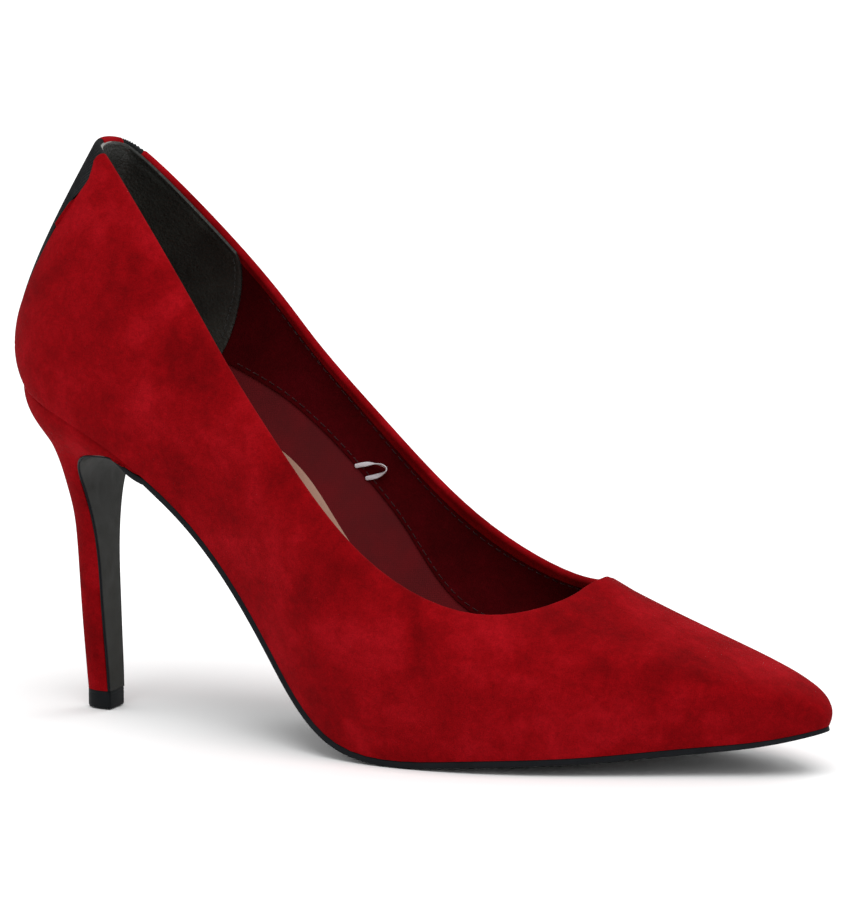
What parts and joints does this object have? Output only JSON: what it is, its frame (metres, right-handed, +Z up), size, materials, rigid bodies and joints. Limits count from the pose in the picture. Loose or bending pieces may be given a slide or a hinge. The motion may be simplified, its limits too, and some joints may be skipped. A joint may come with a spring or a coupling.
{
  "type": "high heel pump",
  "caption": "Pointed-toe slip-on pump with a tall slim covered heel, suede upper, elastic gores at the back and a thin sole.",
  "frame": {"origin": "centre of the shoe's bounding box in plan, at the floor that the heel's top piece and the ball of the sole stand on", "axes": "+X towards the toe, +Y towards the inner (medial) side of this right shoe, +Z up"},
  "size_m": [0.233, 0.0828, 0.1557],
  "materials": {
    "red_suede": "matte",
    "black_elastic": "matte",
    "burgundy_lining": "matte",
    "burgundy_facing": "matte",
    "black_leather": "satin",
    "stiffener": "matte",
    "doubler_cloth": "matte",
    "insole_board_fibre": "matte",
    "cork_filler": "matte",
    "foam": "matte",
    "beige_sock": "matte",
    "woven_tape": "matte",
    "black_sole": "satin",
    "heel_plastic": "satin",
    "steel": "satin",
    "top_piece_rubber": "matte"
  },
  "bodies": {
    "root": {"upper_suede": "red_suede", "back_strip": "red_suede", "elastic_gore_lateral": "black_elastic", "elastic_gore_medial": "black_elastic", "heel_counter": "stiffener", "toe_puff": "stiffener", "doubler_lateral": "doubler_cloth", "doubler_medial": "doubler_cloth", "topline_tape": "doubler_cloth", "quarter_lining": "burgundy_lining", "collar_facing": "burgundy_facing", "heel_grip": "black_leather", "arch_pad": "beige_sock", "insole_board": "insole_board_fibre", "bottom_filler": "cork_filler", "shank": "steel", "shank_rivets": "steel", "heel_pad": "foam", "sock_lining": "beige_sock", "tag_loop": "woven_tape", "outsole": "black_sole", "breast_flap": "black_sole", "heel_core": "heel_plastic", "heel_cover": "red_suede", "heel_tube": "steel", "heel_screw": "steel", "heel_nails": "steel", "top_piece": "top_piece_rubber", "top_piece_pin": "steel"}
  },
  "joints": []
}
